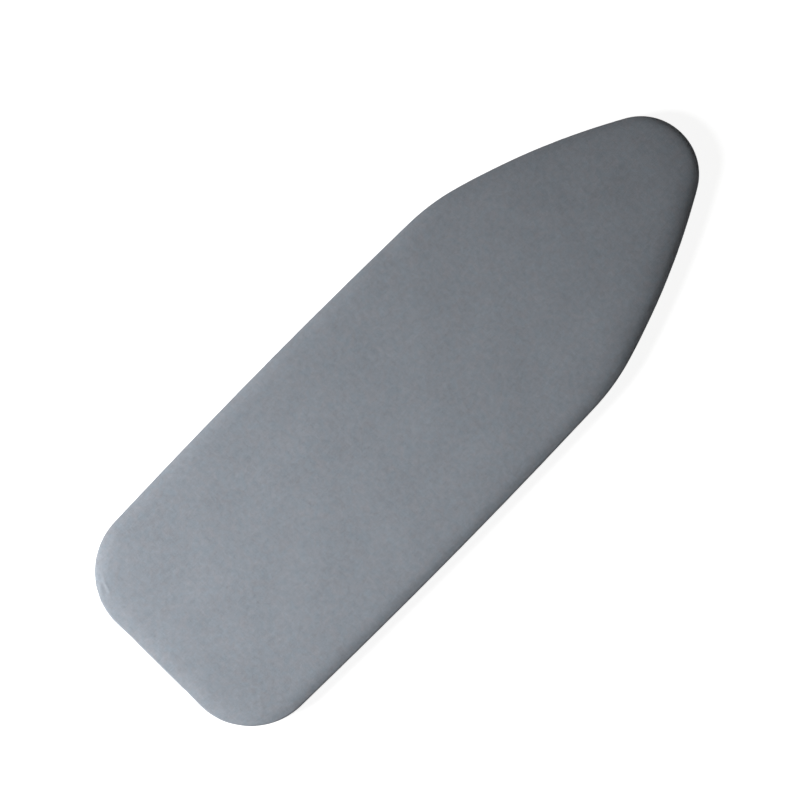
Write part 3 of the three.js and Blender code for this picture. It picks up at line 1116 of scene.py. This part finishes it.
def make_hem():
    tape = ribbed_tape("binding_twill", BINDING_COLOUR, pitch=1.1, slant=0.9, depth=0.25)
    nodes = [f"{part}_binding" for part in (
        "tail", "right_side", "left_side", "right_taper", "left_taper", "nose"
    )]
    outside, inside = binding_section()
    binding = hem_band("hem_binding", outside + inside, tape, nodes)
    knit = ribbed_tape("elastic_knit", ELASTIC_COLOUR, pitch=1.0, slant=0.0, depth=0.3, spread=0.12)
    elastic = hem_band("hem_elastic_band", elastic_section(), knit, ["hem_elastic"])
    lines = []
    for z, up in ((0.0, DOWN), (BINDING_HEIGHT, UP)):
        line = closed_line(ring(HEM_SEAM, z + RISE))
        lines.append((line, np.tile(up, (len(line), 1))))
    thread = spun_thread("hem_thread", HEM_THREAD_COLOUR)
    stitches = add_part("hem_stitches", thread_pieces(lines, *HEM_STITCH), 0.0, thread, "cover")
    lap = make_lap(tape)
    tacks = make_lap_tacks(thread)
    return binding, elastic, stitches, lap, tacks


def hem_height(x):
    """How far the hem is drawn up at places along the tail's straight edge."""
    order = np.argsort(EDGE[:, 0])
    order = order[EDGE[order, 1] <= EDGE[0, 1]]
    return np.interp(x, EDGE[order, 0], RISE[order])


def make_lap(tape):
    """End of the binding tape, lapped over its start at the tail's middle."""
    wrap, _ = binding_section()
    section = np.concatenate([inset(wrap, LAP_THICK), inset(wrap, LAP_GAP)[::-1]])
    runs = walked_along(section)
    along = np.linspace(LAP_START, LAP_END, LAP_STEPS + 1)
    points, flats = [], []
    for x, rise in zip(along, hem_height(along)):
        for (u, z), run in zip(section, runs):
            points.append((x, EDGE[0, 1] - u, z + rise))
            flats.append((x + LAP_SHIFT, run, LAP_LAYER))
    size = len(section)
    faces = grid_faces(len(along), size)
    half = size // 2
    for start in (0, (len(along) - 1) * size):
        for k in range(half - 1):
            faces.append((start + k, start + k + 1, start + size - 2 - k, start + size - 1 - k))
    return add_part("binding_lap", (points, faces, flats), 0.0, tape, "cover")


def make_lap_tacks(thread):
    """Bar tacks across the lap, and the hem's seam carried over it."""
    lines = []
    high, low = BINDING_HEIGHT + LAP_THICK, -LAP_THICK
    for z, up in ((low, DOWN), (high, UP)):
        for x in TACKS:
            level = z + float(hem_height(x))
            ends = [(x, EDGE[0, 1] - u, level) for u in TACK_ENDS]
            lines.append(straight(*ends, up))
        ends = [(x, EDGE[0, 1] - HEM_SEAM, z + float(hem_height(x))) for x in SEAM_OVER_LAP]
        lines.append(straight(*ends, up))
    return add_part("lap_tacks", thread_pieces(lines, *TACK_STITCH), 0.0, thread, "cover")


BINDING, ELASTIC, HEM_STITCHES, LAP, LAP_TACKS = make_hem()


# Straps.


def webbing(path, round_end=0.0):
    """Woven strip along a path of (x, z) at its middle, with ribs along it and soft edges.

    round_end is the corner radius at the path's far end.
    """
    walked = walked_along(path)
    columns = WEB_COLUMNS
    across = np.linspace(-1, 1, columns)
    ribs = WEB_RIB * (np.arange(columns) % 2)
    rounded = np.clip((np.abs(across) - WEB_FLAT) / WEB_ROUND, 0, 1)
    half_thick = (STRAP_THICK / 2 - ribs) * np.sqrt(np.clip(1 - rounded**2, WEB_THIN, 1))
    points, flats = [], []
    for (x, z), (dx, dz), run in zip(path, directions(path), walked):
        left = max(0.0, walked[-1] - run)
        half = STRAP_WIDTH / 2
        if round_end and left < round_end:
            half -= round_end - math.sqrt(max(0.0, round_end**2 - (round_end - left) ** 2))
        up = np.array([-dz, dx]) * (1 if dx > 0 else -1)
        for sign, order in ((1, range(columns)), (-1, range(columns - 1, -1, -1))):
            for k in order:
                lift = sign * half_thick[k]
                points.append((x + up[0] * lift, across[k] * half, z + up[1] * lift))
                flats.append((run, across[k] * half, sign))
    return points, tube_faces(len(path), 2 * columns), flats


def tube(points, radius, sides):
    """Thin tube along a line of points, as points, faces and flat places."""
    ahead = directions(points)
    across = (0.0, 1.0, 0.0) if abs(ahead[0][1]) < TUBE_ALONG_Y else (1.0, 0.0, 0.0)
    rings = []
    for point, way in zip(points, ahead):
        side = np.cross(way, across)
        side /= np.linalg.norm(side)
        other = np.cross(way, side)
        for corner in range(sides):
            a = 2 * math.pi * corner / sides
            rings.append(point + radius * (side * math.cos(a) + other * math.sin(a)))
    return rings, tube_faces(len(points), sides), rings


def joined(parts):
    """Points, faces and flat places of several parts as one."""
    points, faces, flats = [], [], []
    for part_points, part_faces, part_flats in parts:
        base = len(points)
        points.extend(map(tuple, part_points))
        faces.extend(tuple(base + k for k in f) for f in part_faces)
        flats.extend(map(tuple, part_flats))
    return points, faces, flats


def slab(x0, x1, low, high):
    """Flat tape with softened edges, as points, faces and flat places."""
    bevel = (high - low) / 3
    half = TAPE_HALF
    points = []
    for x in np.linspace(x0, x1, SLAB_ROWS):
        end = bevel if x in (x0, x1) else 0.0
        loop = [
            (-half + bevel, high - end), (half - bevel, high - end),
            (half, high - bevel), (half, low + bevel),
            (half - bevel, low + end), (-half + bevel, low + end),
            (-half, low + bevel), (-half, high - bevel),
        ]
        points += [(x, y, z) for y, z in loop]
    return points, tube_faces(SLAB_ROWS, len(loop)), points


def hook_parts(x0, x1, rng):
    """Woven base with rows of small bent hooks on it."""
    base = HOOK_LOW + TAPE_BASE
    top = HOOK_HIGH - HOOK_SHORT
    stem = [(out, base + z) for out, z in HOOK_STEM]
    bend = [(out, top - z) for out, z in HOOK_BEND]
    parts = [slab(x0, x1, HOOK_LOW, base)]
    for i, x in enumerate(np.arange(x0 + HOOK_MARGIN, x1 - PILE_MARGIN, HOOK_PITCH)):
        lean = 1 if i % 2 else -1
        first = -TAPE_HALF + PILE_MARGIN + HOOK_STAGGER * (i % 2)
        for y in np.arange(first, TAPE_HALF - PILE_END, HOOK_SPACING):
            jitter = rng.uniform(-HOOK_JITTER, HOOK_JITTER, 2)
            line = [(x + jitter[0] + out * lean, y + jitter[1], z) for out, z in stem + bend]
            parts.append(tube(line, HOOK_RADIUS, HOOK_SIDES))
    return joined(parts)


def loop_parts(x0, x1, rng):
    """Woven base with a pile of small loops under it."""
    base = LOOP_HIGH - TAPE_BASE
    parts = [slab(x0, x1, base, LOOP_HIGH)]
    for x in np.arange(x0 + PILE_MARGIN, x1 - PILE_END, LOOP_PITCH):
        for y in np.arange(-TAPE_HALF + PILE_MARGIN, TAPE_HALF - PILE_END, LOOP_SPACING):
            px, py = (v + rng.uniform(-LOOP_JITTER, LOOP_JITTER) for v in (x, y))
            turn, wide = rng.uniform(0, math.pi), rng.uniform(*LOOP_WIDE)
            deep = (base - LOOP_LOW - LOOP_SHORT) * rng.uniform(*LOOP_DEEP)
            line = []
            for a in np.linspace(0, math.pi, LOOP_STEPS + 1):
                reach = -wide * math.cos(a)
                z = base + LOOP_ROOT - deep * math.sin(a)
                line.append((px + reach * math.cos(turn), py + reach * math.sin(turn), z))
            parts.append(tube(line, LOOP_RADIUS, LOOP_SIDES))
    return joined(parts)


def box_lines(x0, x1, half, z, up, crossed):
    """A sewn rectangle, with a cross in it where it holds a strap to the hem."""
    corners = [(x0, -half, z), (x1, -half, z), (x1, half, z), (x0, half, z)]
    lines = [straight(corners[k], corners[(k + 1) % 4], up) for k in range(4)]
    if crossed:
        lines += [straight(corners[0], corners[2], up), straight(corners[1], corners[3], up)]
    return lines


def strap_path(edge, hinge):
    """Middle of a closed strap from its sewn end to its rounded far end, sagging between them."""
    far = STRAP_END - edge
    xs = np.concatenate([
        np.arange(edge + STRAP_LAP, hinge + LAP_STEP, -LAP_STEP),
        np.arange(hinge + LAP_STEP, hinge - FINE_RUN, -FINE_STEP),
        np.arange(hinge - FINE_RUN, far + STRAP_ROUND, -COARSE_STEP),
        far + STRAP_ROUND * np.cos(np.linspace(0, math.pi / 2, END_STEPS + 1)),
    ])
    sagging = (xs > SAG_END) & (xs < hinge - SAG_START)
    share = (xs - SAG_END) / (hinge - SAG_START - SAG_END)
    sag = STRAP_SAG * np.sin(math.pi * share) ** 2
    return np.column_stack([xs, STRAP_LOW + STRAP_THICK / 2 - np.where(sagging, sag, 0.0)])


def tab_path(edge):
    """Middle of a loop tab, which steps up over the strap that closes on it."""
    xs = np.arange(-edge - STRAP_LAP, -edge + TAB_REACH, 1.0)
    step = eased((xs + edge - TAB_STEP_FROM) / (TAB_STEP_TO - TAB_STEP_FROM))
    return np.column_stack([xs, STRAP_LOW + STRAP_THICK / 2 + TAB_STEP * step])


def make_strap(name, edge, y, looks, seed):
    """Hook strap on its sewn end, its hook tape, and the loop tab that it closes on."""
    rng = np.random.default_rng(seed)
    body = f"{name}_strap"
    web, hooks_look, loops_look, thread = looks
    hinge = edge - HINGE_INSET
    hook0, hook1 = HOOK_START - edge, HOOK_START - edge + HOOK_LENGTH
    loop0, loop1 = LOOP_START - edge, LOOP_START - edge + LOOP_LENGTH
    strap = add_part(
        f"{name}_strap_webbing", webbing(strap_path(edge, hinge), STRAP_ROUND),
        y, web, None, [f"{name}_strap_anchor", f"{name}_hook_strap"],
    )
    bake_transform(strap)
    hook_tape = add_part(
        f"{name}_hook_patch", hook_parts(hook0, hook1, rng),
        y, hooks_look, body, [f"{name}_hook_tape"],
    )
    tab = add_part(
        f"{name}_tab_webbing", webbing(tab_path(edge)),
        y, web, "cover", [f"{name}_loop_tab"],
    )
    loop_tape = add_part(
        f"{name}_loop_patch", loop_parts(loop0, loop1, rng),
        y, loops_look, "cover", [f"{name}_loop_tape"],
    )
    sewn = []
    for x0, x1 in ((edge + SEWN_FROM, edge + SEWN_TO), (-edge - SEWN_TO, -edge - SEWN_FROM)):
        sewn += box_lines(x0, x1, SEWN_HALF, STRAP_LOW + STRAP_THICK, UP, True)
        sewn += box_lines(x0, x1, SEWN_HALF, 0.0, DOWN, True)
    seam = (loop0 + TAPE_MARGIN, loop1 - TAPE_MARGIN, TAPE_SEAM)
    sewn += box_lines(*seam, LOOP_HIGH - TAPE_BASE, DOWN, False)
    sewn += box_lines(*seam, LOOP_TOP, UP, False)
    anchored = add_part(f"{name}_sewn_ends", thread_pieces(sewn, *STRAP_STITCH), y, thread, "cover")
    seam = (hook0 + TAPE_MARGIN, hook1 - TAPE_MARGIN, TAPE_SEAM)
    held = box_lines(*seam, HOOK_LOW + TAPE_BASE, UP, False)
    held += box_lines(*seam, STRAP_LOW, DOWN, False)
    moving = add_part(f"{name}_patch_seam", thread_pieces(held, *STRAP_STITCH), y, thread, body)
    return strap, hook_tape, tab, loop_tape, anchored, moving


STRAP_LOOKS = (
    ribbed_tape("strap_webbing", STRAP_COLOUR, pitch=1.5, slant=0.55, depth=0.35, spread=0.4),
    ribbed_tape("hook_nylon", HOOK_COLOUR, pitch=0.9, slant=0.0, depth=0.15, spread=0.35),
    ribbed_tape("loop_pile", LOOP_COLOUR, pitch=0.7, slant=1.3, depth=0.2, spread=0.45),
    spun_thread("strap_thread", STRAP_THREAD_COLOUR),
)
REAR = make_strap("rear", REAR_EDGE, REAR_STRAP, STRAP_LOOKS, REAR_SEED)
FRONT = make_strap("front", FRONT_EDGE, FRONT_STRAP, STRAP_LOOKS, FRONT_SEED)


# Stage: camera, floor and light, in metres and degrees.

CAMERA_LEAN = 8.0
CAMERA_ROLL = 45.65
CAMERA_AIM = (-0.0160, -0.0275, 0.02)
CAMERA_AWAY = 3.0
CAMERA_LENS = 111.3
CAMERA_SENSOR = 36.0
CAMERA_SIGHT = 100.0
FLOOR_GREY = (0.8, 0.8, 0.8, 1.0)
FLOOR_SEEN = (0.5, 0.5, 0.5, 1.0)
FLOOR_GLOW = 0.9
FLOOR_HALF = 30.0
FLOOR_LEVEL = -0.0006
WORLD_COLOUR = (1.0, 0.93, 0.8, 1.0)
WORLD_LIGHT = 0.05
LAMP_PLACE = (-0.655, -1.376, 1.06)
LAMP_AIM = (0.28, -0.026, 0.0)
LAMP_SIZE = 0.9
LAMP_POWER = 13.9
LAMP_SPREAD = 85.0
LAMP_COLOUR = (0.97, 0.99, 1.0)


def make_camera():
    """Camera nearly straight above, leaning to the tail, with the nose to the upper right."""
    lean = math.radians(CAMERA_LEAN)
    roll = math.radians(CAMERA_ROLL)
    back = Vector((0.0, -math.sin(lean), math.cos(lean)))
    up = Vector((-math.cos(roll), math.sin(roll), 0.0))
    right = (-back).cross(up).normalized()
    up = right.cross(-back)
    data = bpy.data.cameras.new("camera")
    data.lens = CAMERA_LENS
    data.sensor_width = CAMERA_SENSOR
    data.clip_end = CAMERA_SIGHT
    camera = new_object("camera", data)
    turned = Matrix((right, up, back)).transposed()
    place = Vector(CAMERA_AIM) + CAMERA_AWAY * back
    camera.matrix_world = Matrix.Translation(place) @ turned.to_4x4()
    SCENE.camera = camera


def as_seen(tree, unseen, seen):
    """A second shader for what the camera sees straight, mirrored or through glass."""
    path = add(tree, "LightPath")
    share = maths(tree, "MAXIMUM", path.outputs["Is Camera Ray"], path.outputs["Is Glossy Ray"])
    share = maths(tree, "MAXIMUM", share, path.outputs["Is Transmission Ray"])
    inputs = {0: share, 1: unseen.outputs[0], 2: seen.outputs[0]}
    return add(tree, "MixShader", inputs).outputs[0]


def make_floor():
    material, tree = new_material("floor")
    plain = add(tree, "BsdfDiffuse", {"Color": FLOOR_GREY})
    shaded = add(tree, "BsdfDiffuse", {"Color": FLOOR_SEEN})
    glow = add(tree, "Emission", {"Strength": FLOOR_GLOW})
    pale = add(tree, "AddShader", {0: shaded.outputs[0], 1: glow.outputs[0]})
    add(tree, "OutputMaterial", {0: as_seen(tree, plain, pale)})
    mesh = bpy.data.meshes.new("floor")
    corners = ((-1, -1), (1, -1), (1, 1), (-1, 1))
    places = [(x * FLOOR_HALF, y * FLOOR_HALF, FLOOR_LEVEL) for x, y in corners]
    mesh.from_pydata(places, [], [(0, 1, 2, 3)])
    mesh.materials.append(material)
    floor = new_object("floor", mesh)


def make_world():
    world = bpy.data.worlds.new("studio")
    SCENE.world = world
    tree = empty_tree(world)
    soft = add(tree, "Background", {0: WORLD_COLOUR, 1: WORLD_LIGHT})
    white = add(tree, "Background", {0: (1.0, 1.0, 1.0, 1.0), 1: 1.0})
    add(tree, "OutputWorld", {0: as_seen(tree, soft, white)})


def make_lamp():
    data = bpy.data.lights.new("key", "AREA")
    data.shape = "DISK"
    data.size = LAMP_SIZE
    data.energy = LAMP_POWER
    data.spread = math.radians(LAMP_SPREAD)
    data.color = LAMP_COLOUR
    lamp = new_object("key", data)
    lamp.location = LAMP_PLACE
    lamp.rotation_mode = "QUATERNION"
    ahead = Vector(LAMP_AIM) - Vector(LAMP_PLACE)
    lamp.rotation_quaternion = ahead.to_track_quat("-Z", "Y")


make_camera()
make_floor()
make_world()
make_lamp()
bpy.context.scene.view_settings.view_transform = "Standard"
